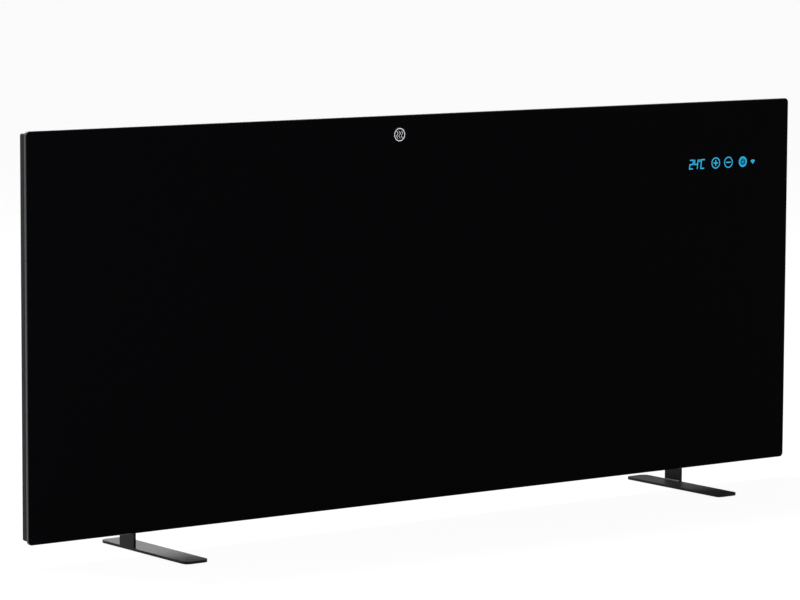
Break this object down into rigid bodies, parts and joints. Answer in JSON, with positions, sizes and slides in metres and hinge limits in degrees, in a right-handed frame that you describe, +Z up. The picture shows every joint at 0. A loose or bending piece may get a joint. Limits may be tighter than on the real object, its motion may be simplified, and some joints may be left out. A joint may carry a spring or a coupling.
{
  "type": "infrared panel heater",
  "caption": "Free-standing infrared panel heater: wide black glass front on a shallow steel body, with two flat bent-steel feet and a control box behind.",
  "frame": {"origin": "on the floor, under the middle of the heater's bounding box, between the two feet", "axes": "+X to the right of someone facing the glass, +Y to the back, +Z up"},
  "size_m": [1.104, 0.175, 0.475],
  "materials": {
    "black_glass": "toughened glass, back-printed black, polished face and ground edge",
    "silicone": "black silicone adhesive",
    "bare_aluminium": "mill-finish extrusion",
    "powder_coat": "fine-texture dark grey powder coat on folded sheet steel",
    "foot_coat": "smooth satin black powder coat on bent steel",
    "carbon_film": "carbon-printed polymer film",
    "copper_foil": "rolled copper foil",
    "fibre_board": "pressed mineral fibre board",
    "bright_foil": "bright rolled foil",
    "black_plastic": "moulded black polyamide, fine spark texture",
    "white_plastic": "moulded white plastic",
    "foam": "conductive foam",
    "clear_plastic": "clear acrylic",
    "circuit_board": "solder mask on glass-fibre laminate",
    "zinc_steel": "bright zinc plate",
    "black_screw": "black zinc plate",
    "rubber_pad": "self-adhesive rubber",
    "brass": "turned brass",
    "relay_case": "moulded blue case",
    "ceramic": "unglazed electrical ceramic",
    "red_lead": "silicone-insulated lead, red",
    "grey_lead": "silicone-insulated lead, grey"
  },
  "bodies": {
    "heater": {"front_glass": "black_glass", "adhesive_bead": "silicone", "carrier_frame": "bare_aluminium", "rear_tray": "powder_coat", "heating_film": "carbon_film", "busbar_upper": "copper_foil", "busbar_lower": "copper_foil", "insulation_board": "fibre_board", "reflector_foil": "bright_foil", "thermal_limiter_left": "ceramic", "thermal_limiter_right": "ceramic", "display_carrier": "black_plastic", "touch_board": "circuit_board", "digit_light_guide": "white_plastic", "touch_pad_plus": "foam", "touch_pad_minus": "foam", "touch_pad_power": "foam", "signal_light_pipe": "clear_plastic", "control_box_cover": "powder_coat", "power_board": "circuit_board", "relay": "relay_case", "power_supply_module": "black_plastic", "wireless_module": "zinc_steel", "tilt_sensor": "black_plastic", "smoothing_capacitor": "black_plastic", "fuse": "ceramic", "terminal_block": "white_plastic", "cable_gland": "black_plastic", "gland_nut": "black_plastic", "room_sensor": "white_plastic", "earth_stud": "brass", "rocker_housing": "black_plastic", "foot_left": "foot_coat", "foot_pad_left_front": "rubber_pad", "foot_pad_left_rear": "rubber_pad", "foot_backing_left": "zinc_steel", "foot_right": "foot_coat", "foot_pad_right_front": "rubber_pad", "foot_pad_right_rear": "rubber_pad", "foot_backing_right": "zinc_steel", "foot_screw_lower_left": "black_screw", "foot_screw_upper_left": "black_screw", "foot_screw_lower_right": "black_screw", "foot_screw_upper_right": "black_screw", "tray_screw_1": "black_screw", "tray_screw_2": "black_screw", "tray_screw_3": "black_screw", "tray_screw_4": "black_screw", "tray_screw_5": "black_screw", "tray_screw_6": "black_screw", "tray_screw_7": "black_screw", "tray_screw_8": "black_screw", "box_screw_1": "black_screw", "box_screw_2": "black_screw", "box_screw_3": "black_screw", "box_screw_4": "black_screw", "lead_upper": "red_lead", "lead_lower": "grey_lead"},
    "rocker": {"rocker_key": "black_plastic"}
  },
  "joints": [
    {"name": "rocker_swing", "type": "hinge", "parent": "heater", "child": "rocker", "pos_m": [0.5158, 0.027, 0.42], "axis": [0, 1, 0], "range_deg": [0, 18.5]}
  ]
}
